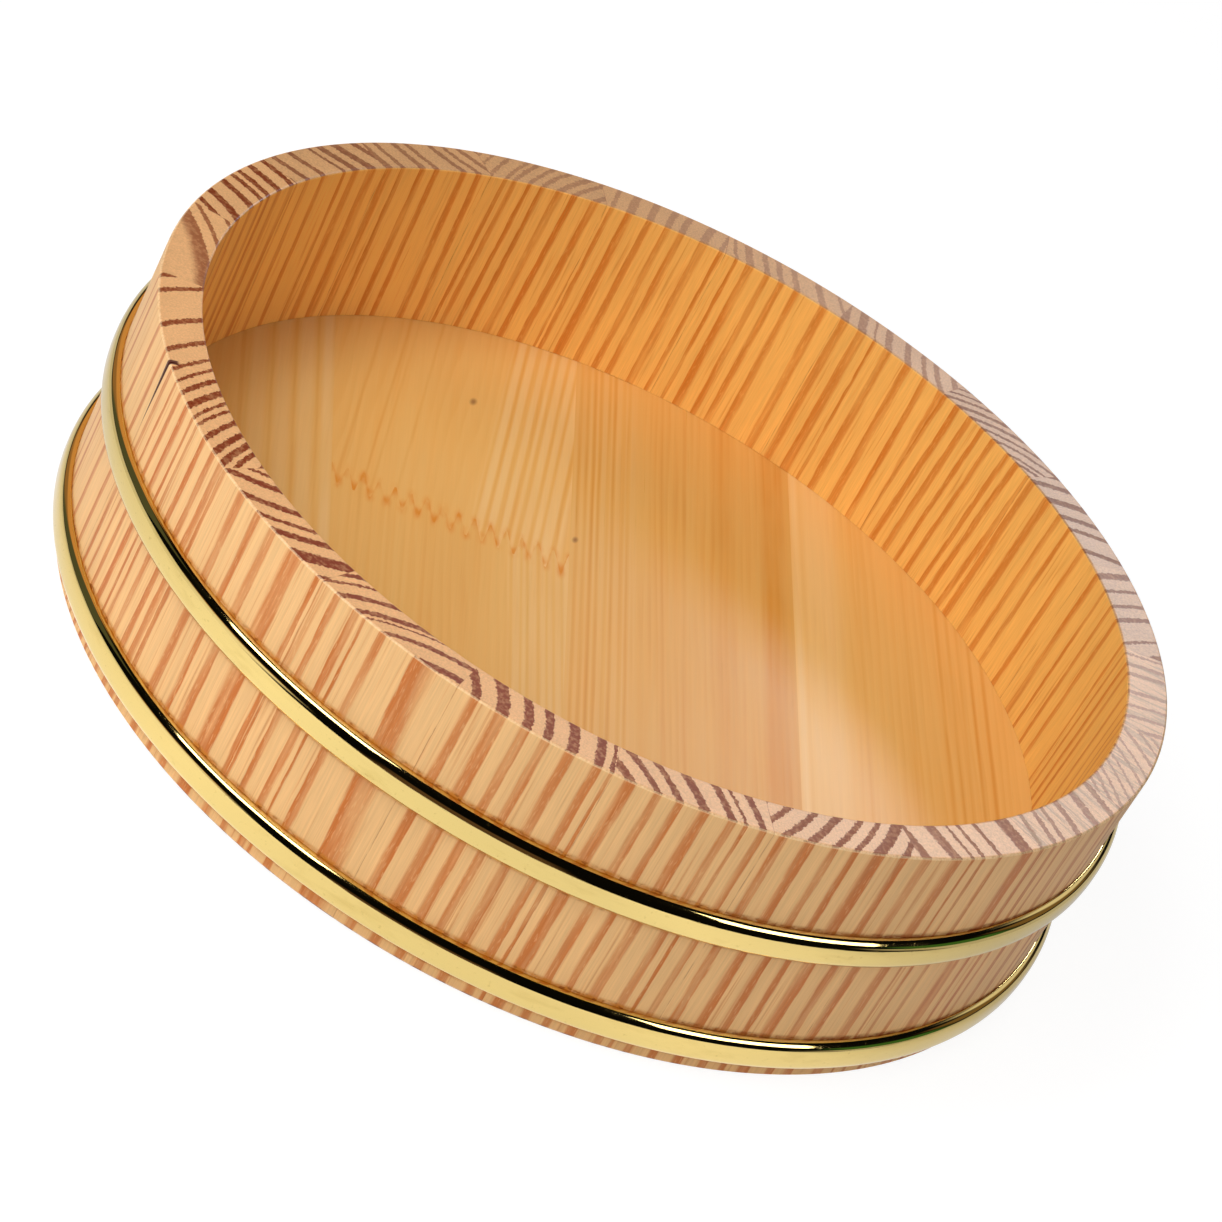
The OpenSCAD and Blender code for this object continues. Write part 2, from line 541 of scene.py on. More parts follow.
STAVE_WOOD = SoftwoodFinish(
    early=linear(236, 188, 128),
    late=linear(198, 103, 32),
    end_early=linear(231, 176, 121),
    end_late=linear(126, 42, 4),
    # Inside colours, more saturated as painted bounce light between the walls
    inside_bounce_early=linear(242, 186, 98),
    inside_bounce_late=linear(210, 122, 42),
    joint=linear(164, 90, 42),
    # Painted highlight on the rim's rounded outer edge
    edge=linear(250, 222, 176),
    crack=linear(78, 22, 26),
    burnished=linear(176, 138, 92),
    # Painted shade along the hoops' edges, light and deep
    hoop_edge_shade=linear(208, 128, 44),
    hoop_edge_shade_deep=linear(146, 68, 8),
)


# The staves whose end grain is rubbed smooth in streaks
BURNISHED = (8, 9, 10)

# How much darker or paler each stave's end grain is, darker round the right and far side of the rim as painted shade,
# how dark its latewood is there and how much rougher
END_GRAIN = (
    (0.0, 1.0, 0.0), (0.0, 1.0, 0.08), (0.0, 0.97, 0.16), (0.0, 0.94, 0.28), (-0.04, 0.9, 0.3), (-0.08, 0.84, 0.3),
    (-0.1, 0.76, 0.26), (-0.12, 0.66, 0.16), (-0.1, 0.56, 0.12), (-0.12, 0.56, 0.12), (-0.28, 0.66, 0.2),
    (-0.32, 0.7, 0.24), (-0.3, 0.7, 0.24), (-0.22, 0.5, 0.2), (-0.2, 0.42, 0.16), (-0.22, 0.42, 0.1),
    (-0.27, 0.48, 0.1), (-0.26, 0.65, 0.1), (-0.24, 0.8, 0.1), (-0.12, 1.0, 0.0), (-0.06, 0.8, 0.0), (-0.02, 0.95, 0.0),
)

STAVE_GRAINS = (
    Grain(-45, 70, ((-145.7, 0.7), (-143.8, 0.5), (-142.0, 0.7), (-139.9, 1.0), (-138.2, 0.5), (-137.0, 0.5),
                    (-135.0, 0.8), (-132.9, 0.9), (-131.2, 1.0))),
    Grain(-50, -66, ((-127.0, 1.2), (-124.1, 0.8), (-121.7, 1.2), (-118.2, 2.0), (-114.9, 0.6))),
    Grain(40, 30, ((-112.2, 0.8), (-109.8, 0.9), (-108.7, 0.3), (-106.5, 0.9), (-101.9, 2.4))),
    Grain(10, -42, ((-96.0, 1.0), (-93.2, 1.3), (-90.6, 1.0), (-88.5, 0.9), (-86.0, 1.1), (-83.2, 1.0), (-81.8, 0.4))),
    Grain(21, -49, ((-79.8, 1.3), (-77.0, 0.9), (-74.8, 0.8), (-72.3, 1.1), (-69.5, 0.9), (-68.1, 0.4), (-66.3, 0.8))),
    Grain(-62, -66, ((-64.2, 1.0), (-61.4, 1.2), (-58.6, 0.9), (-56.3, 0.8), (-53.8, 1.6), (-50.8, 1.0))),
    Grain(10, -150, ((-48.0, 1.2), (-44.3, 1.4), (-42.2, 0.4), (-40.7, 0.5), (-38.4, 0.6), (-34.4, 1.8))),
    Grain(-40, -110, ((-32.1, 0.6), (-29.9, 0.7), (-28.3, 0.6), (-25.5, 0.9), (-22.0, 1.2), (-18.5, 1.0))),
    # The tone below nought on staves 9 to 11 is painted shade on the right of the inner wall
    Grain(-80, -80, ((-14.0, 0.5), (-12.2, 0.5), (-10.0, 0.6), (-8.1, 0.5), (-5.5, 0.7), (-3.0, 0.6), (-1.2, 0.5)),
          tone=-0.1),
    Grain(30, -110, ((2.0, 0.7), (4.5, 0.6), (7.5, 0.8), (11.4, 0.8), (13.4, 0.8), (15.6, 0.5)),
          Face.INNER, tone=-0.12),
    Grain(40, -110, ((17.5, 0.6), (22.1, 0.9), (24.8, 0.7), (27.8, 0.6), (30.7, 1.2)), Face.INNER, tone=-0.08),
    Grain(-30, -90, ((35.5, 1.0), (39.5, 0.8), (42.0, 1.0), (45.1, 1.3), (48.5, 1.1)), Face.INNER, tone=-0.04),
    Grain(-34, -30, ((52.0, 1.0), (53.8, 0.8), (56.5, 0.8), (58.6, 0.7), (60.8, 1.0), (63.1, 1.0), (65.3, 0.7)),
          Face.INNER, tone=-0.04),
    Grain(30, -60, ((68.6, 0.9), (71.5, 1.1), (74.7, 1.1), (76.8, 0.4), (78.8, 1.3), (81.4, 1.2)), Face.INNER),
    Grain(30, -90, ((84.5, 1.2), (88.3, 1.0), (90.6, 0.9), (92.6, 0.8), (95.0, 1.1), (96.9, 0.5)),
          Face.INNER, tone=0.05),
    Grain(-20, -80, ((99.1, 0.6), (101.5, 1.1), (104.5, 0.9), (106.4, 0.9), (108.9, 1.0), (111.6, 1.1), (114.0, 0.6)),
          Face.INNER, tone=0.07),
    Grain(-60, -60, ((116.4, 1.0), (119.2, 0.9), (121.3, 1.1), (123.7, 0.8), (125.6, 0.7), (127.7, 0.8), (129.0, 0.6)),
          Face.INNER, tone=0.08),
    Grain(30, -70, ((132.9, 0.9), (135.2, 1.0), (139.2, 0.9), (141.4, 1.0), (144.5, 0.8), (146.8, 1.2)),
          Face.INNER, tone=0.12),
    Grain(25, -80, ((149.6, 1.5), (152.5, 1.3), (154.5, 0.6), (158.4, 0.9), (161.5, 0.9)), Face.INNER, tone=0.14),
    Grain(13, 45, ((167.0, 1.0), (169.2, 0.8), (170.7, 0.8), (173.0, 1.0), (176.2, 1.1), (178.8, 0.8)), tone=0.08),
    Grain(83, 35, ((-178.4, 0.8), (-173.2, 1.3), (-167.8, 1.3)), Face.INNER, fill=22.0, fade=6.0),
    Grain(-45, 70, ((-159.6, 0.8), (-153.2, 0.9), (-148.9, 0.8)), fill=5.5),
)


@dataclass
class StaveWood:
    """The wood of one stave, worked out from the rings of its log.

    More bands follow beyond the ones that were read, until they are that far past the stave. Their distance
    and width vary within the two ranges, in shares of the mean distance. The band shape says where a band
    starts, is dark, ends and is gone, in shares of its width from its middle. Each later pair of sizes is
    where a change starts and ends: in how far a face looks up, outwards from the middle of the wall, below
    the rim, past a hoop's edge or away from a joint, in millimetres, or in degrees for the deep painted shade along the
    hoops.
    """

    number: int
    wood: SoftwoodFinish
    bands_per_ramp: int = 7
    beyond: float = 3.0
    gap_range: tuple[float, float] = (0.75, 1.25)
    width_range: tuple[float, float] = (0.2, 0.4)
    seed_step: float = 17.3
    band_shape: tuple[float, float, float, float] = (0.6, 0.34, 0.42, 0.1)
    band_dark: float = 0.86
    faces_up: tuple[float, float] = (0.45, 0.8)
    inner_half: tuple[float, float] = (1.5, -1.5)
    outer_half: tuple[float, float] = (-2.0, 2.0)
    outer_face: tuple[float, float] = (4.0, 5.5)
    # Where the painted highlight lies on the rim's rounded edge
    rounding_depth: tuple[float, float] = (1.4, 0.8)
    rounding_from: tuple[float, float] = (0.2, 0.5)
    rounding_to: tuple[float, float] = (0.985, 0.85)
    # Where the painted shade along the hoops reaches, and where round the tub it turns deep
    edge_shade_reach: tuple[float, float] = (1.5, 0.1)
    deep_shade_turn: float = 75.0
    deep_shade_ease: float = 28.0
    glue_line: tuple[float, float] = (0.22, 0.04)
    open_edge: tuple[float, float] = (-0.1, 0.2)
    open_from: tuple[float, float] = (2.5, 3.5)

    def __post_init__(self) -> None:
        """Sets out the stave's own frame and the patterns that several methods use."""
        wood = self.wood
        self.grain = STAVE_GRAINS[self.number - 1]
        self.seed = self.number * self.seed_step
        self.middle = FIRST_JOINT + (self.number - 0.5) * STAVE_ANGLE
        self.sheet = Sheet(f"stave_wood_{self.number:02d}")
        self.local = self.sheet.turned(self.sheet.point(), -self.middle, (-WALL_MIDDLE_R, 0, 0))
        self.out, self.around, self.up = self.sheet.parts(self.local)
        normal = self.sheet.node("ShaderNodeNewGeometry", output="Normal")
        self.facing_up = self.sheet.parts(normal)[2]
        self.end_grain = abs(self.facing_up).step(*self.faces_up)
        self.late = self.latewood()
        self.fibre = self.noise(wood.fibre)
        self.cloud = self.noise(wood.cloud)
        self.pores = self.noise(wood.pores)

    def noise(self, texture: Texture) -> Wire:
        """Returns one of the wood's patterns as it lies on this stave."""
        return self.sheet.noise(self.local, texture, self.seed)

    def ring_bands(self) -> list[Band]:
        """Works out where the latewood lies, counted from the pith.

        Returns:
            The bands, in millimetres from the pith.
        """
        grain = self.grain

        def from_pith(radius: float, angle: float) -> float:
            """Returns the distance from the pith to a point in the plane of the rim."""
            a = math.radians(angle)
            out = radius * math.cos(a) - WALL_MIDDLE_R - grain.pith_out
            return math.hypot(out, radius * math.sin(a) - grain.pith_round)

        marks = []
        for angle, width in grain.lines:
            local = (angle - self.middle + 180) % 360 - 180
            ends = [from_pith(grain.face.value, local + s * width / 2) for s in (-1, 1)]
            centre = from_pith(grain.face.value, local)
            marks.append((centre, max(0.5, abs(ends[1] - ends[0]))))
        marks.sort()
        half = STAVE_ANGLE / 2
        reach = [from_pith(r, a) for r in (RIM_R, RIM_INNER_R) for a in (-half, 0, half)]
        rng = random.Random(self.number)
        faded = marks[0][0] if grain.fade else None
        gaps = [b[0] - a[0] for a, b in zip(marks, marks[1:])]
        gap = grain.fill or max(sum(gaps) / len(gaps) if gaps else 6.0, 2.0)
        while marks[0][0] > min(reach) - self.beyond:
            step = gap * rng.uniform(*self.gap_range)
            marks.insert(0, (marks[0][0] - step, gap * rng.uniform(*self.width_range)))
        while marks[-1][0] < max(reach) + self.beyond:
            step = gap * rng.uniform(*self.gap_range)
            marks.append((marks[-1][0] + step, gap * rng.uniform(*self.width_range)))
        bands = []
        last = marks[0][0] - 2 * marks[0][1]
        before, dark_from, dark_to, after = self.band_shape
        for centre, width in marks:
            start = max(last + 0.12, centre - (grain.fade if centre == faded else width * before))
            dark = max(start + 0.08, centre - width * dark_from)
            end = max(dark + 0.1, centre + width * dark_to)
            last = end + max(0.12, width * after)
            depth = 0.6 if width > 5 else rng.uniform(0.82, 0.98) if width > 1.8 else rng.uniform(0.9, 1.0)
            bands.append((start, dark, end, last, depth))
        return bands

    def latewood(self) -> Wire:
        """Works out the latewood at a point from the point's distance from the pith.

        Returns:
            How much there is, from nought, where all is earlywood, to one.
        """
        wood = self.wood
        away = self.sheet.length(self.out - self.grain.pith_out, self.around - self.grain.pith_round)
        ring = away + self.noise(wood.wander) + self.noise(wood.ripple) + self.noise(wood.tremor)
        ring = ring + self.noise(wood.torn) * self.end_grain
        bands = self.ring_bands()
        total = None
        for first in range(0, len(bands), self.bands_per_ramp):
            group = bands[first : first + self.bands_per_ramp]
            low, high = group[0][0] - 0.5, group[-1][3] + 0.5
            stops = []
            for start, dark, end, gone, depth in group:
                stops += [(start, 0.0), (dark, self.band_dark * depth), (end, depth), (gone, 0.0)]
            places = [((place - low) / (high - low), grey) for place, grey in stops]
            share = (ring - low) / (high - low)
            ramp = self.sheet.node("ShaderNodeValToRGB", {"stops": places}, {0: share})
            total = ramp if total is None else total.larger(ramp)
        return total

    def long_grain(self) -> Wire:
        """Colours the faces along the grain: latewood lines, thin lines, flecks, fibres and soft clouds.

        Returns:
            The colour.
        """
        sheet, wood = self.sheet, self.wood
        # The inside colours are more saturated orange than the outside, as painted bounce light between the walls
        inside = self.out.step(*self.inner_half)
        early = sheet.mix(inside, wood.early, wood.inside_bounce_early)
        late = sheet.mix(inside, wood.late, wood.inside_bounce_late)
        lines = (self.late * self.noise(wood.uneven)).larger(self.noise(wood.thin_lines))
        colour = sheet.mix(lines * (1.0 - self.noise(wood.fleck)), early, late)
        # On staves 9 to 11 the grain's tone is painted shade on the right of the inner wall
        shade = 1.0 + self.grain.tone + self.fibre * wood.fibre_tone + self.noise(wood.streak)
        return sheet.brighter(colour, shade + self.cloud * wood.cloud_tone)

    def across_grain(self) -> Wire:
        """Colours the end grain, with its smooth streaks on the staves that have them.

        Returns:
            The colour.
        """
        sheet, wood = self.sheet, self.wood
        # The end grain's tone is painted shade, darker round the right and far side of the rim
        tone, depth, _ = END_GRAIN[self.number - 1]
        dark = self.late.step(0.04, 0.5) * self.noise(wood.worn) * depth
        colour = sheet.mix(dark, wood.end_early, wood.end_late)
        if self.number in BURNISHED:
            colour = sheet.mix(self.noise(wood.smear), colour, wood.burnished)
        return sheet.brighter(colour, 1.0 + tone + self.pores * wood.pore_tone + self.cloud * wood.end_cloud_tone)

    def painted_edge_highlight(self, colour: Wire) -> Wire:
        """Paints a highlight, a pale line, on the rounded edge between the rim and the outside.

        Args:
            colour: The colour so far.

        Returns:
            The new colour.
        """
        low, high = (RIM_Z - depth for depth in self.rounding_depth)
        near_rim = self.up.step(low, high) * self.out.step(*self.outer_half)
        # Painted highlight where the rounded edge turns from the rim to the outside
        highlight_mask = self.facing_up.step(*self.rounding_from) * self.facing_up.step(*self.rounding_to) * near_rim
        return self.sheet.mix(highlight_mask * (self.wood.edge_highlight_share + self.pores), colour, self.wood.edge)

    def hoop_edge_shade(self, colour: Wire) -> Wire:
        """Paints shade onto the wood along the hoops' edges, where the wall meets the brass, deeper towards the right.

        Args:
            colour: The colour so far.

        Returns:
            The new colour.
        """
        sheet, wood = self.sheet, self.wood
        nearest = abs(abs(self.up - HOOPS_MIDDLE_Z) - HOOP_SPACING / 2)
        far, near = (HOOP_HEIGHT / 2 + gap for gap in self.edge_shade_reach)
        touching = nearest.step(far, near) * self.out.step(*self.outer_face)
        # Painted shade in a blotchy band along each hoop, darker over the latewood
        contact_shade = touching * self.noise(wood.blotch) * (wood.edge_shade_early + self.late * wood.edge_shade_late)
        deep = min(max((self.deep_shade_turn - abs(self.middle)) / self.deep_shade_ease, 0.0), 1.0)
        shade_colour = [light + (dark - light) * deep for light, dark in zip(wood.hoop_edge_shade, wood.hoop_edge_shade_deep)]
        colour = sheet.mix(contact_shade.smaller(1.0), colour, tuple(shade_colour))
        return sheet.mix(contact_shade * self.noise(wood.spots), colour, wood.hoop_edge_shade_deep)

    def joints(self, colour: Wire) -> Wire:
        """Draws the glue lines, and the dark of the open joint on the two staves beside it.

        Args:
            colour: The colour so far.

        Returns:
            The new colour.
        """
        half = math.radians(STAVE_ANGLE / 2)
        radius = self.out + WALL_MIDDLE_R
        from_joint = radius * math.sin(half) - abs(self.around) * math.cos(half)
        glue = from_joint.step(*self.glue_line) * self.noise(self.wood.glue)
        colour = self.sheet.mix(glue, colour, self.wood.joint)
        if self.number not in (1, STAVE_COUNT):
            return colour
        side = 1 if self.number == 1 else -1
        past = radius * math.sin(half) + self.around * math.cos(half) * side
        width = (self.up - RIM_Z + OPEN_JOINT_DROP) * (1.0 / OPEN_JOINT_DROP)
        opened = (width - past).step(*self.open_edge) * self.out.step(*self.open_from)
        return self.sheet.mix(opened * self.wood.crack_share, colour, self.wood.crack)

    def material(self) -> bpy.types.Material:
        """Builds the wood.

        Returns:
            The stave's material.
        """
        wood = self.wood
        matt = END_GRAIN[self.number - 1][2]
        colour = self.sheet.mix(self.end_grain, self.long_grain(), self.across_grain())
        # Painted highlight on the rim's edge, then painted shade along the hoops, then the joints
        colour = self.joints(self.hoop_edge_shade(self.painted_edge_highlight(colour)))
        roughness = wood.roughness + self.fibre * wood.fibre_roughness - self.late * wood.late_smoothness
        roughness = roughness - self.end_grain * wood.end_smoothness + self.end_grain * self.late * matt
        surface = {"Base Color": colour, "Roughness": roughness, "Specular IOR Level": wood.gloss}
        height = self.fibre * wood.fibre_height + self.pores * wood.pore_height
        return self.sheet.finish(surface, height, wood.relief)


@dataclass
class Wall:
    """The ring of staves."""

    wood: SoftwoodFinish = STAVE_WOOD

    def dress(self) -> None:
        """Gives every stave its own wood."""
        for number in range(1, STAVE_COUNT + 1):
            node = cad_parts[f"stave_{number:02d}"]
            set_material(node, StaveWood(number, self.wood).material())
            log.info("%s dressed", node.name)


@dataclass(frozen=True)
class Streak:
    """A streak along the grain: its place across, its width, and its tone, above nought where it is paler."""

    across: float
    width: float
    tone: float
    soft: float = 0.6


def even_streaks(first: float, last: float, count: int, width: float, tone: float) -> tuple[Streak, ...]:
    """Returns streaks of one kind at nearly even distances.

    Args:
        first: The place of the first.
        last: The place of the last.
        count: How many there are.
        width: The width of each.
        tone: The tone of each.

    Returns:
        The streaks.
    """
    step = (last - first) / (count - 1)
    rng = random.Random(count * 7 + int(width * 10))
    streaks = []
    for i in range(count):
        place = first + (i + rng.uniform(-0.22, 0.22)) * step
        streaks.append(Streak(place, width * rng.uniform(0.7, 1.3), tone * rng.uniform(0.55, 1.1), 0.8))
    return tuple(streaks)


@dataclass(frozen=True)
class Board:
    """One floor board, with its places across and along the grain in the floor's own turned frame.

    The streaks' places hold at pivot, a place along the grain, and the lean is how far they move across for
    each millimetre along.
    """

    node: str
    spacing: float
    contrast: float
    tone: float
    streaks: tuple[Streak, ...]
    lean: float = 0.0
    pivot: float = 0.0
    warmth: float = 0.0


@dataclass(frozen=True)
class Knot:
    """A pin knot, placed across and along the grain from the tub's middle."""

    across: float
    along: float
    size: float


@dataclass(frozen=True)
class BoardFinish:
    """Planed floor boards: paler and closer in grain than the staves, and nearly without gloss."""

    early: Colour = linear(232, 180, 104)
    late: Colour = linear(216, 146, 62)
    pale: Colour = linear(240, 206, 150)
    glue: Colour = linear(220, 136, 44)
    knot_core: Colour = linear(132, 86, 54)
    knot_share: float = 0.75
    roughness: float = 0.3
    gloss: float = 0.06
    relief: float = 0.01
    late_at_least: float = 0.12
    fibre_tone: float = 0.07
    streak_tone: float = 0.06
    cloud_tone: float = 0.1
    streak_late: float = 0.5
    cloud_late: float = 0.3
    fibre_roughness: float = 0.08
    cloud_roughness: float = 0.06
    wander: Texture = Texture((24, 150, 24), amount=3.0)
    ripple: Texture = Texture((4, 50, 4), 3, amount=0.7)
    spread: Texture = Texture((9, 160, 9), 7, amount=2.2)
    line_strength: Texture = Texture((8, 60, 8), 9, span=(-0.2, 0.2, 0.05, 0.9))
    fibre: Texture = Texture((0.5, 30, 0.5), 11, 1.0, 0.6)
    streak: Texture = Texture((2.4, 140, 2.4), 13)
    streak_strength: Texture = Texture((9, 60, 9), 15, span=(-0.3, 0.1, 0.45, 1.0))
    cloud: Texture = Texture((40, 80, 40), 17)
    patch: Texture = Texture((3.6, 9.0, 3.6), 19, span=(-0.16, 0.2, 0.05, 1.0))
    ragged: Texture = Texture((2, 4, 2), 21, amount=3.0)


BOARDS = (
    Board("floor_board_left", spacing=5.0, contrast=0.2, tone=-0.03, lean=-0.0594, streaks=(
        Streak(-81.9, 3.0, 0.4, 1.2), Streak(-85.0, 0.9, -0.3), Streak(-88.5, 4.4, 0.3, 1.4),
        Streak(-92.0, 0.9, -0.3), Streak(-95.5, 4.2, 0.25, 1.4), Streak(-99.0, 1.0, -0.3),
        Streak(-103.0, 4.6, 0.2, 1.4), Streak(-108.0, 1.4, -0.3),
    )),
    Board("floor_board_far", spacing=3.4, contrast=0.22, tone=0.0, lean=0.09, pivot=60.0, streaks=(
        Streak(-76.0, 1.0, -0.3), Streak(-68.4, 0.8, -0.35), Streak(-65.8, 0.8, -0.25), Streak(-58.6, 0.8, -0.25),
        Streak(-22.0, 27.0, 0.35, 2.0), *even_streaks(-35.2, -11.2, 8, 1.3, -0.6),
    )),
    Board("floor_board_near", spacing=3.2, contrast=0.2, tone=-0.02, lean=-0.03, streaks=(
        Streak(-44.0, 18.0, -0.15, 4.0), Streak(-17.0, 19.0, 0.3, 2.0), *even_streaks(-26.0, -10.5, 7, 0.9, -0.5),
        Streak(-72.0, 1.0, -0.2), Streak(-63.0, 1.0, -0.2),
    )),
    Board("floor_board_middle", spacing=2.3, contrast=0.24, tone=-0.01, warmth=0.2, streaks=(
        *even_streaks(-7.0, 9.0, 8, 0.9, -0.45), Streak(1.0, 20.0, 0.15, 3.0), Streak(40.0, 7.0, -0.25, 2.5),
        Streak(56.0, 8.0, -0.45, 3.0), Streak(20.0, 1.0, -0.2), Streak(27.0, 1.2, -0.2),
    )),
    Board("floor_board_right", spacing=2.9, contrast=0.24, tone=0.04, warmth=-0.08, streaks=(
        Streak(63.4, 2.4, 0.4, 1.4), Streak(71.0, 12.0, 0.3, 5.0), Streak(84.0, 1.2, -0.25), Streak(99.0, 1.2, -0.25),
        *even_streaks(110.0, 124.0, 5, 1.2, -0.55),
    )),
)


@dataclass
class Floor:
    """The boards of the floor, with the places of its joints across and along the grain in millimetres."""

    grain_turn: float = 15.0
    left_joint: float = -80.0
    left_joint_lean: float = -0.0594
    middle_joint: float = -9.0
    finger_place: float = 21.0
    finger_length: float = 10.0
    finger_count: int = 15
    finger_line_share: float = 0.34
    finger_line_edge: tuple[float, float] = (3.2, 0.4)
    finger_tip_share: float = 0.72
    finger_tip_r: float = 2.3
    finger_tip_stretch: float = 0.4
    upper_tip_inset: float = 2.0
    lower_tip_inset: float = 1.4
    knot_lean: float = 0.2
    knot_stretch: float = 0.5
    ring_darkens: tuple[float, float] = (0.1, 0.8)
    ring_ends: tuple[float, float] = (1.0, 0.82)
    streak_straightness: float = 0.8
    streaks_per_ramp: int = 7
    first_seed: float = 100.0
    seed_step: float = 29.0
    rise_lean: float = 0.35
    wood: BoardFinish = BoardFinish()
    boards: tuple[Board, ...] = BOARDS
    knots: tuple[Knot, ...] = (Knot(-41.4, 88.0, 1.5), Knot(-7.4, 35.8, 1.2))

    def dress(self) -> None:
        """Gives every board its own wood."""
        for index, board in enumerate(self.boards):
            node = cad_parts[board.node]
            set_material(node, self.board_material(board, self.first_seed + self.seed_step * index))
            log.info("%s dressed", node.name)

    def board_material(self, board: Board, seed: float) -> bpy.types.Material:
        """Builds the wood of one board.

        Args:
            board: The board.
            seed: Moves its noise.

        Returns:
            Its material.
        """
        wood = self.wood
        sheet = Sheet(f"{board.node}_wood")
        local = sheet.turned(sheet.point(), -self.grain_turn)
        across, along, up = sheet.parts(local)

        def noise(texture: Texture) -> Wire:
            """Returns one of the wood's patterns as it lies on this board."""
            return sheet.noise(local, texture, seed)

        wander = noise(wood.wander) + noise(wood.ripple)
        side = across - (along - board.pivot) * board.lean + (up - FLOOR_Z) * self.rise_lean + wander
        ring = (side / board.spacing + noise(wood.spread)).fraction()
        late = ring.step(*self.ring_darkens) * ring.step(*self.ring_ends) * noise(wood.line_strength)
        streak_side = side - wander * self.streak_straightness
        tone = self.streak_tone(sheet, streak_side, board) * noise(wood.streak_strength)

        fibre, streak, cloud = noise(wood.fibre), noise(wood.streak), noise(wood.cloud)
        darker = late * board.contrast + (0.0 - tone).larger(0.0) + streak * wood.streak_late
        darker = (darker + cloud * wood.cloud_late + wood.late_at_least + board.warmth).larger(0.0).smaller(1.0)
        colour = sheet.mix(darker, wood.early, wood.late)
        colour = sheet.mix(tone.larger(0.0), colour, wood.pale)
        shade = 1.0 + board.tone + fibre * wood.fibre_tone + streak * wood.streak_tone + cloud * wood.cloud_tone
        colour = sheet.brighter(colour, shade)
        if board.node in ("floor_board_far", "floor_board_near"):
            line = self.finger_line(sheet, across, along, noise(wood.ragged))
            colour = sheet.mix(line * noise(wood.patch), colour, wood.glue)
        for knot in self.knots:
            past = along - knot.along
            slanted = across - knot.across - past * self.knot_lean
            dark = sheet.length(slanted, past * self.knot_stretch).step(knot.size, knot.size * 0.1)
            colour = sheet.mix(dark * wood.knot_share, colour, wood.knot_core)
        roughness = wood.roughness + fibre * wood.fibre_roughness + cloud * wood.cloud_roughness
        surface = {"Base Color": colour, "Roughness": roughness, "Specular IOR Level": wood.gloss}
        return sheet.finish(surface, fibre, wood.relief)

    def streak_tone(self, sheet: Sheet, side: Wire, board: Board) -> Wire:
        """Returns how much paler or darker the wood is, from minus one to one.

        Args:
            sheet: The material.
            side: The place across the grain.
            board: The board.

        Returns:
            The tone.
        """
        total = None
        for first in range(0, len(board.streaks), self.streaks_per_ramp):
            group = sorted(board.streaks[first : first + self.streaks_per_ramp], key=lambda streak: streak.across)
            for part in self.apart(group):
                low, high = part[0].across - part[0].width, part[-1].across + part[-1].width
                stops = []
                for streak in part:
                    grey = 0.5 + streak.tone / 2
                    for off in (-streak.width / 2, streak.width / 2):
                        before, after = (grey, 0.5) if off > 0 else (0.5, grey)
                        edge = streak.across + off
                        stops += [(edge - streak.soft / 2, before), (edge + streak.soft / 2, after)]
                places = [((place - low) / (high - low), grey) for place, grey in stops]
                ramp = sheet.node("ShaderNodeValToRGB", {"stops": places}, {0: (side - low) / (high - low)})
                share = (ramp - 0.5) * 2.0
                total = share if total is None else total + share
        return total

    @staticmethod
    def apart(streaks: list[Streak]) -> list[list[Streak]]:
        """Sorts streaks into rows in which none lies over another.

        Args:
            streaks: The streaks, from left to right.

        Returns:
            The rows.
        """
        rows: list[list[Streak]] = []
        for streak in streaks:
            start = streak.across - streak.width / 2 - streak.soft / 2
            for row in rows:
                last = row[-1]
                if last.across + last.width / 2 + last.soft / 2 < start:
                    row.append(streak)
                    break
            else:
                rows.append([streak])
        return rows

    def finger_line(self, sheet: Sheet, across: Wire, along: Wire, ragged: Wire) -> Wire:
        """Returns where the glue line of the finger joint shows.

        Args:
            sheet: The material.
            across: The place across the grain.
            along: The place along the grain.
            ragged: How far the line strays along the grain, in millimetres.

        Returns:
            A value from nought to one on the line.
        """
        top, foot = self.finger_place + self.finger_length / 2, self.finger_place - self.finger_length / 2
        left = self.left_joint + top * self.left_joint_lean
        half_pitch = (self.middle_joint - left) / self.finger_count / 2
        share = (across - left).swing(half_pitch)
        off = abs(top - share * (self.finger_length / half_pitch) - along + ragged)
        line = off.step(*self.finger_line_edge) * self.finger_line_share
        from_top, from_foot = along - top + self.upper_tip_inset, along - foot - self.lower_tip_inset
        upper = sheet.length(share, from_top * self.finger_tip_stretch).step(self.finger_tip_r, 0.1)
        lower = sheet.length(half_pitch - share, from_foot * self.finger_tip_stretch).step(self.finger_tip_r, 0.1)
        return line + upper.larger(lower) * self.finger_tip_share


@dataclass(frozen=True)
class BrassFinish:
    """Polished brass sheet with faint smears and hair scratches."""

    colour: Colour = linear(228, 201, 128)
    dull: Colour = linear(200, 168, 92)
    roughness: float = 0.055
    relief: float = 0.004
    smear: Texture = Texture((18, 18, 5), 3.0, 3.0, 0.6)
    smeared: tuple[float, float] = (0.0, 0.3)
    smear_share: float = 0.35
    smear_roughness: float = 0.06
    spots: Texture = Texture((1.6, 1.6, 1.2), 9.0, 3.0, 0.6, (0.12, 0.24))
    spot_share: float = 0.3
    spot_roughness: float = 0.12
    hair: Texture = Texture((12, 12, 0.12), 21.0, 1.0)

    def material(self) -> bpy.types.Material:
        """Builds the brass.

        Returns:
            The material.
        """
        sheet = Sheet("hoop_brass")
        point = sheet.point()
        smear = sheet.noise(point, self.smear)
        smeared = smear.step(*self.smeared)
        spots = sheet.noise(point, self.spots)
        colour = sheet.mix(smeared * self.smear_share + spots * self.spot_share, self.colour, self.dull)
        roughness = self.roughness + smeared * self.smear_roughness + spots * self.spot_roughness
        surface = {"Base Color": colour, "Metallic": 1.0, "Roughness": roughness}
        return sheet.finish(surface, sheet.noise(point, self.hair) + smear, self.relief)


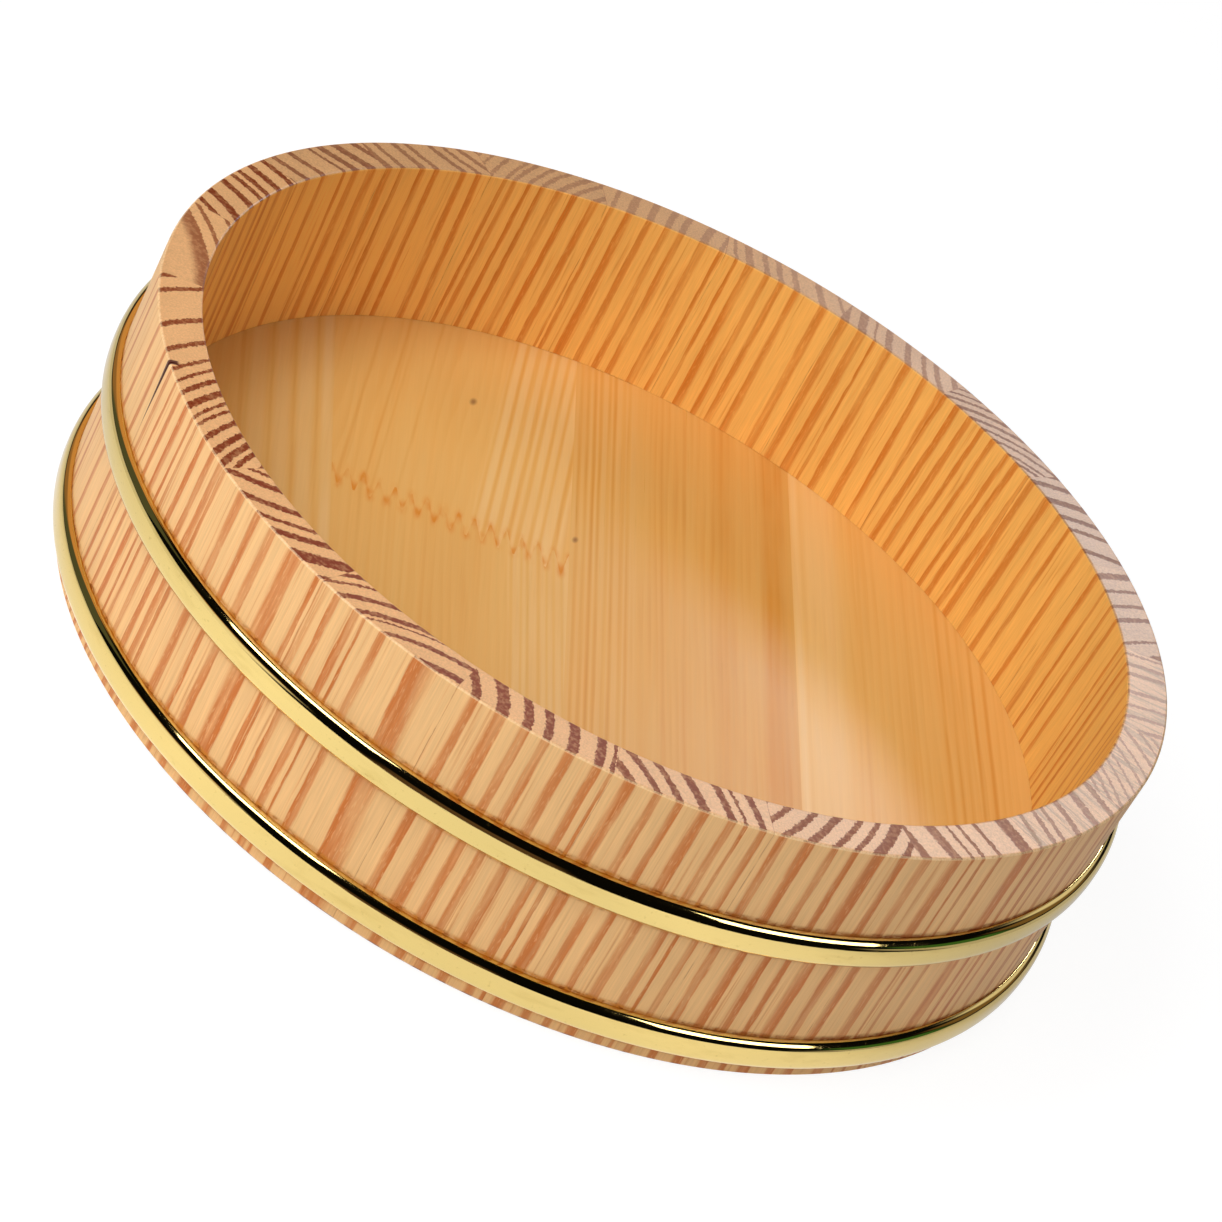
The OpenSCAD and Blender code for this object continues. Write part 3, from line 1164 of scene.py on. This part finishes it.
@dataclass
class Hoops:
    """The two brass bands: a nearly flat face between two rounded edges, bent round the wall."""

    section_height: float = 9.5
    proud: float = 3.0
    sheet_thickness: float = 0.8
    wall_gap: float = 0.03
    foot_r: float = 149.0
    lower_middle: float = 9.25
    spacing: float = HOOP_SPACING
    bow: float = 0.12
    steps_round: int = 540
    steps_across: int = 30
    unevenness: float = 0.06
    seam: float = 0.01
    finish: BrassFinish = BrassFinish()

    def build(self) -> None:
        """Makes both hoops and lets them stand for the plain ones."""
        brass = self.finish.material()
        tree = self.band_tree(brass)
        for name, height in (("lower", self.lower_middle), ("upper", self.lower_middle + self.spacing)):
            band = self.band(tree, f"{name}_hoop_band", height)
            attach(band, "root")
            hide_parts(f"{name}_hoop")
            log.info("%s has %d faces", band.name, len(band.data.polygons))

    def band(self, tree: bpy.types.NodeTree, name: str, height: float) -> bpy.types.Object:
        """Evaluates the tree for one hoop.

        Args:
            tree: The Geometry Nodes tree.
            name: The new piece's name.
            height: The height of the hoop's middle above the foot.

        Returns:
            The finished piece, a plain mesh.
        """
        slope = (RIM_R - self.foot_r) / RIM_Z
        flat = (self.section_height / 2 - self.proud) / (math.hypot(1.0, self.bow) - self.bow)
        sizes = {
            "Seat radius": (self.foot_r + slope * height + self.wall_gap) * MM,
            "Wall slope": slope,
            "Edge radius": (self.proud - flat * self.bow) * MM,
            "Half flat": flat * MM,
            "Bow": self.bow,
            "Sheet": self.sheet_thickness * MM,
            "Height": height * MM,
            "Seed": height,
        }
        holder = bpy.data.objects.new(name + "_source", bpy.data.meshes.new(name + "_source"))
        bpy.context.scene.collection.objects.link(holder)
        modifier = holder.modifiers.new("band", "NODES")
        modifier.node_group = tree
        for item in tree.interface.items_tree:
            if item.in_out == "INPUT":
                modifier[item.identifier] = sizes[item.name]
        evaluated = holder.evaluated_get(bpy.context.evaluated_depsgraph_get())
        mesh = bpy.data.meshes.new_from_object(evaluated)
        bpy.data.objects.remove(holder)
        mesh.name = name
        piece = bpy.data.objects.new(name, mesh)
        bpy.context.scene.collection.objects.link(piece)
        return piece

    def band_tree(self, brass: bpy.types.Material) -> bpy.types.NodeTree:
        """Builds the tree that rolls a flat grid into a closed ring of bent sheet.

        The grid's rows run up the outside of the section, then down its inside and back to the first row.

        Args:
            brass: The band's material.

        Returns:
            The tree.
        """
        group = GeometryTree("brass_band")
        seat = group.number("Seat radius", 0.15)
        slope = group.number("Wall slope", 0.0)
        edge = group.number("Edge radius", 0.003)
        flat = group.number("Half flat", 0.002)
        bow = group.number("Bow", 0.12)
        sheet = group.number("Sheet", 0.0008)
        height = group.number("Height", 0.0)
        seed = group.number("Seed", 0.0)

        rows = 2 * self.steps_across
        counts = {"Size X": 1.0, "Size Y": 1.0, "Vertices X": self.steps_round + 1, "Vertices Y": rows + 1}
        grid = group.node("GeometryNodeMeshGrid", {}, counts, "Mesh")
        x, y, _ = group.parts(group.node("GeometryNodeInputPosition"))
        turn = x * math.tau
        row = (y + 0.5) * rows
        inner = row.above(self.steps_across - 0.5) * row.below(rows - 0.5)
        outside = row.span(0, self.steps_across - 1) * row.below(rows - 0.5)
        inside = row.span(rows - 1, self.steps_across)
        share = outside + (inside - outside) * inner

        angle = (share - 0.5) * math.pi
        rise, reach = angle.sine(), angle.cosine()
        bow_squared = bow * bow
        spread = flat / (rise * rise + bow_squared).root()
        radius = edge - sheet * inner
        round_it = group.vector(turn.cosine() * 3.0, turn.sine() * 3.0, seed)
        wave = group.node("ShaderNodeTexNoise", {}, {"Vector": round_it, "Scale": 2.0, "Detail": 2.0}, "Fac")
        lift = radius * rise + spread * rise * (bow_squared + 1.0)
        out = seat + slope * lift + radius * reach + spread * bow_squared * reach - wave * (self.unevenness * MM)
        spot = group.vector(out * turn.cosine(), out * turn.sine(), height + lift)
        moved = group.node("GeometryNodeSetPosition", {}, {"Geometry": grid, "Position": spot})
        closed = group.node("GeometryNodeMergeByDistance", {}, {"Geometry": moved, "Distance": self.seam * MM})
        smooth = group.node("GeometryNodeSetShadeSmooth", {}, {"Geometry": closed})
        real = group.node("GeometryNodeRealizeInstances", {}, {0: smooth})
        group.end("NodeGroupOutput", group.node("GeometryNodeSetMaterial", {}, {"Geometry": real, "Material": brass}))
        return group.tree


@dataclass(frozen=True)
class BambooFinish:
    """Split bamboo of the hidden pegs."""

    pale: Colour = linear(222, 198, 140)
    dark: Colour = linear(176, 144, 84)
    roughness: float = 0.6
    relief: float = 0.05
    fibre: Texture = Texture((0.4, 0.4, 0.4), 71.0, 3.0, 0.7)

    def material(self) -> bpy.types.Material:
        """Builds the bamboo.

        Returns:
            The material.
        """
        sheet = Sheet("peg_bamboo")
        fibre = sheet.noise(sheet.point(), self.fibre)
        colour = sheet.mix(fibre.step(-0.2, 0.3), self.pale, self.dark)
        return sheet.finish({"Base Color": colour, "Roughness": self.roughness + fibre * 0.2}, fibre, self.relief)


class Shows(enum.Enum):
    """What a light does: it lights surfaces, is seen in their gloss, or both."""

    LIGHT = "light"
    GLOSS = "gloss"
    BOTH = "both"


@dataclass(frozen=True)
class Softbox:
    """A rectangular light.

    Its corners are one corner, the next one across and the next one down, in metres. Its brightness is what
    a white card in its place would show.
    """

    name: str
    corners: tuple[Colour, Colour, Colour]
    brightness: float
    shows: Shows = Shows.BOTH
    colour: Colour = (1.0, 1.0, 1.0)


SOFTBOXES = (
    Softbox("key_window", ((0.07, -1.43, 1.44), (-1.25, -0.7, 1.44), (-0.18, -1.88, 0.7)), 3.7, Shows.LIGHT),
    Softbox("left_window", ((-0.28, -0.15, 1.33), (-0.64, 0.16, 1.19), (-0.44, -0.99, 0.95)), 5.0, Shows.LIGHT),
    Softbox("left_shine", ((-0.80, -0.06, 1.16), (-0.26, -0.38, 1.29), (-0.94, -0.41, 0.905)), 6.0, Shows.GLOSS),
    Softbox("right_card", ((0.59, -0.36, 1.21), (0.91, 0.19, 1.02), (1.0, -0.88, 0.57)), 1.1, Shows.LIGHT),
    Softbox("right_shine", ((0.64, -0.43, 1.09), (0.99, 0.07, 0.92), (0.85, -0.71, 0.72)), 5.0, Shows.GLOSS),
    Softbox("back_window", ((0.06, 1.75, 1.42), (1.0, 1.45, 1.42), (0.06, 1.75, 0.95)), 4.5, Shows.LIGHT),
    Softbox("back_shine", ((0.088, 1.678, 1.15), (0.591, 1.577, 1.15), (0.088, 1.678, 0.82)), 20.0, Shows.GLOSS,
            (0.8, 0.88, 1.0)),
)


@dataclass(frozen=True)
class Patch:
    """A dim coloured part of the room that the polished brass mirrors, by its direction in degrees."""

    turn: float
    height: float
    half_turn: float
    half_height: float
    colour: Colour
    ease_turn: float = 4.0
    ease: float = 3.0


ROOM = (
    Patch(118, 32, 30, 16, (0.7, 0.36, 0.15)),
    Patch(142, 20, 12, 10, (0.34, 0.19, 0.09)),
    Patch(168, 26, 22, 18, (0.09, 0.105, 0.075)),
    Patch(-148, 2, 14, 8, (0.47, 0.27, 0.14)),
    Patch(-92, 3, 17, 8, (0.107, 0.066, 0.047)),
    Patch(9, 11, 13, 11, (0.05, 0.16, 0.04)),
    Patch(38, 20, 12, 9, (0.2, 0.13, 0.06)),
    Patch(56, 29, 10, 7, (0.82, 0.8, 0.78)),
)

# How bright the floor looks in the brass, by the direction in degrees: painted shade and light on the mirrored floor
FLOOR_SHADES = (
    (-180, 0.72), (-165, 0.86), (-152, 0.96), (-140, 1.08), (-122, 1.2), (-104, 1.06), (-88, 0.98), (-72, 0.98),
    (-60, 1.1), (-42, 0.97), (-28, 0.72), (-10, 0.56), (5, 0.52), (30, 0.56), (90, 0.66), (150, 0.66), (180, 0.72),
)
FLOOR_SHADE_MOST = 1.25


@dataclass
class Studio:
    """The floor, the lights and the camera at the photograph's angle."""

    elevation: float = 30.31
    roll: float = 29.39
    distance: float = 7.2667 * RIM_R
    across: float = -0.1219 * RIM_R
    upwards: float = -0.2482 * RIM_R
    focal_px: float = 4037.5
    image_px: float = 1222.0
    sensor: float = 36.0
    floor_glow: float = 0.8
    floor_white_level: float = 1.12
    floor_lamp_share: float = 0.1
    floor_reach: float = 6.0
    apron_r: float = 0.31
    tent_r: float = 4.0
    tent_rings: int = 12
    tent_sides: int = 48
    tent_dark: Colour = (0.003, 0.003, 0.003)
    sweep_middle: float = -71.0
    sweep_edges: tuple[float, float] = (54.0, 66.0)
    sweep_top: tuple[float, float] = (6.0, 4.0)
    fill_colour: Colour = (1.0, 0.99, 0.97)
    fill_strength: float = 0.15

    def camera(self) -> None:
        """Makes the camera."""
        el = math.radians(self.elevation)
        back = Vector((0, -math.cos(el), math.sin(el)))
        right = Vector((1, 0, 0))
        up = back.cross(right)
        roll = math.radians(self.roll)
        side = right * math.cos(roll) + up * math.sin(roll)
        top = up * math.cos(roll) - right * math.sin(roll)
        place = (back * self.distance + side * self.across + top * self.upwards) * MM
        place.z += RIM_Z * MM
        data = bpy.data.cameras.new("camera")
        data.sensor_width = self.sensor
        data.lens = self.sensor * self.focal_px / self.image_px
        data.clip_start = 0.01
        camera = bpy.data.objects.new("camera", data)
        bpy.context.scene.collection.objects.link(camera)
        turn = Matrix((side, top, back)).transposed().to_4x4()
        camera.matrix_world = Matrix.Translation(place) @ turn
        bpy.context.scene.camera = camera

    def softbox(self, box: Softbox) -> None:
        """Adds one rectangular light, with its lit side towards the tub.

        Args:
            box: The light's corners, brightness and colour.
        """
        corner, across, down = (Vector(point) for point in box.corners)
        side = across - corner
        length = down - corner
        length -= side * (length.dot(side) / side.length_squared)
        middle = corner + (side + length) / 2
        normal = side.cross(length).normalized()
        if normal.dot(middle) < 0:
            side, normal = -side, -normal
        data = bpy.data.lights.new(box.name, "AREA")
        data.shape = "RECTANGLE"
        data.size, data.size_y = side.length, length.length
        data.energy = box.brightness * math.pi * side.length * length.length
        data.color = box.colour
        light = bpy.data.objects.new(box.name, data)
        bpy.context.scene.collection.objects.link(light)
        turn = Matrix((side.normalized(), length.normalized(), normal)).transposed().to_4x4()
        light.matrix_world = Matrix.Translation(middle) @ turn
        light.visible_glossy = box.shows is not Shows.LIGHT
        light.visible_diffuse = box.shows is not Shows.GLOSS

    def floor(self) -> None:
        """Lays the pale floor."""
        reach = self.floor_reach
        corners = [(-reach, -reach, 0), (reach, -reach, 0), (reach, reach, 0), (-reach, reach, 0)]
        mesh = bpy.data.meshes.new("studio_floor")
        mesh.from_pydata(corners, [], [(0, 1, 2, 3)])
        floor = bpy.data.objects.new("studio_floor", mesh)
        bpy.context.scene.collection.objects.link(floor)
        mesh.materials.append(self.floor_white())

    def floor_white(self) -> bpy.types.Material:
        """Builds a floor that is plain pale paint to the lamps, and nearly white where it is seen.

        Returns:
            The material.
        """
        sheet = Sheet("studio_floor_white")
        paint = {"Base Color": (0.93, 0.93, 0.93), "Roughness": 0.9, "Specular IOR Level": 0.0}
        painted = sheet.node("ShaderNodeBsdfPrincipled", {}, paint)
        seen, mirrored = sheet.rays()
        x, y, _ = sheet.parts(sheet.point())
        # In mirrors the floor carries painted shade and light that change round the tub
        shade = sheet.mix(mirrored, (1, 1, 1), sheet.brighter((1, 1, 1), self.floor_shade(sheet, x, y)))
        glow = sheet.node("ShaderNodeEmission", {}, {"Color": shade, "Strength": self.floor_white_level})
        sheet.shade(sheet.node("ShaderNodeMixShader", {}, {0: seen * self.floor_glow, 1: painted, 2: glow}))
        return sheet.material

    @staticmethod
    def floor_shade(sheet: Sheet, x: Wire, y: Wire) -> Wire:
        """Returns how bright the floor looks in a mirror: painted shade and light that change round the tub.

        Args:
            sheet: The material.
            x: The place to the right.
            y: The place to the back.

        Returns:
            A factor around one.
        """
        turn = y.turn_over(x) / math.tau + 0.5
        stops = [((degrees + 180) / 360, value / FLOOR_SHADE_MOST) for degrees, value in FLOOR_SHADES]
        return sheet.node("ShaderNodeValToRGB", {"stops": stops}, {0: turn}) * FLOOR_SHADE_MOST

    def room_material(self) -> bpy.types.Material:
        """Builds the dark room with its coloured patches and the white sweep behind the tub.

        Returns:
            The material.
        """
        sheet = Sheet("studio_room")
        x, y, z = sheet.parts(sheet.point())
        turn = y.turn_over(x) * math.degrees(1)
        rise = z.turn_over(sheet.length(x, y)) * math.degrees(1)
        colour = self.tent_dark
        for patch in ROOM:
            aside = abs(turn - patch.turn).step(patch.half_turn + patch.ease_turn, patch.half_turn - patch.ease_turn)
            above = abs(rise - patch.height).step(patch.half_height + patch.ease, patch.half_height - patch.ease)
            colour = sheet.mix(aside * above, colour, patch.colour)
        white = abs(turn - self.sweep_middle).step(*self.sweep_edges) * rise.step(*self.sweep_top)
        # The white sweep carries the same painted shade and light as the mirrored floor
        level = self.floor_shade(sheet, x, y) * (self.floor_glow * self.floor_white_level + self.floor_lamp_share)
        colour = sheet.mix(white, colour, sheet.brighter((1, 1, 1), level))
        sheet.shade(sheet.node("ShaderNodeEmission", {}, {"Color": colour, "Strength": 1.0}))
        return sheet.material

    def dark_tent(self) -> None:
        """Hangs a dark dome with an apron on the floor, which only reflections show."""
        mesh = bpy.data.meshes.new("dark_tent")
        radius, rings, sides = self.tent_r, self.tent_rings, self.tent_sides
        profile = [(self.apron_r, 0.0005), (radius, 0.0005)]
        for ring in range(1, rings):
            tilt = math.pi / 2 * ring / rings
            profile.append((radius * math.cos(tilt), radius * math.sin(tilt)))
        profile.append((0.001, radius))
        turns = [math.tau * side / sides for side in range(sides)]
        points = [(out * math.cos(turn), out * math.sin(turn), up) for out, up in profile for turn in turns]
        faces = []
        for low in range(0, (len(profile) - 1) * sides, sides):
            for side in range(sides):
                after = (side + 1) % sides
                faces.append((low + side, low + sides + side, low + sides + after, low + after))
        mesh.from_pydata(points, [], faces)
        tent = bpy.data.objects.new("dark_tent", mesh)
        bpy.context.scene.collection.objects.link(tent)
        mesh.materials.append(self.room_material())
        for ray in ("camera", "diffuse", "transmission", "shadow"):
            setattr(tent, f"visible_{ray}", False)

    def world(self) -> None:
        """Fills the room with even pale light."""
        sheet = Sheet("studio", SheetKind.WORLD)
        bpy.context.scene.world = sheet.material
        lit = sheet.node("ShaderNodeBackground", {}, {"Color": self.fill_colour, "Strength": self.fill_strength})
        seen = sheet.node("ShaderNodeBackground", {}, {"Color": (1, 1, 1), "Strength": 1.0})
        sheet.shade(sheet.node("ShaderNodeMixShader", {}, {0: sheet.rays()[0], 1: lit, 2: seen}))

    def build(self) -> None:
        """Sets up everything around the tub."""
        bpy.context.scene.view_settings.view_transform = "Standard"
        self.camera()
        self.floor()
        self.dark_tent()
        self.world()
        for box in SOFTBOXES:
            self.softbox(box)
        log.info("studio ready")


def main() -> None:
    """Builds and dresses the tub, then the studio around it."""
    logging.basicConfig(level=logging.INFO, format="%(message)s")
    Wall().dress()
    Floor().dress()
    Hoops().build()
    bamboo = BambooFinish().material()
    for name in ("stave_pegs", "board_pegs"):
        set_material(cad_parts[name], bamboo)
        log.info("%s dressed", name)
    Studio().build()


if __name__ == "__main__":
    main()
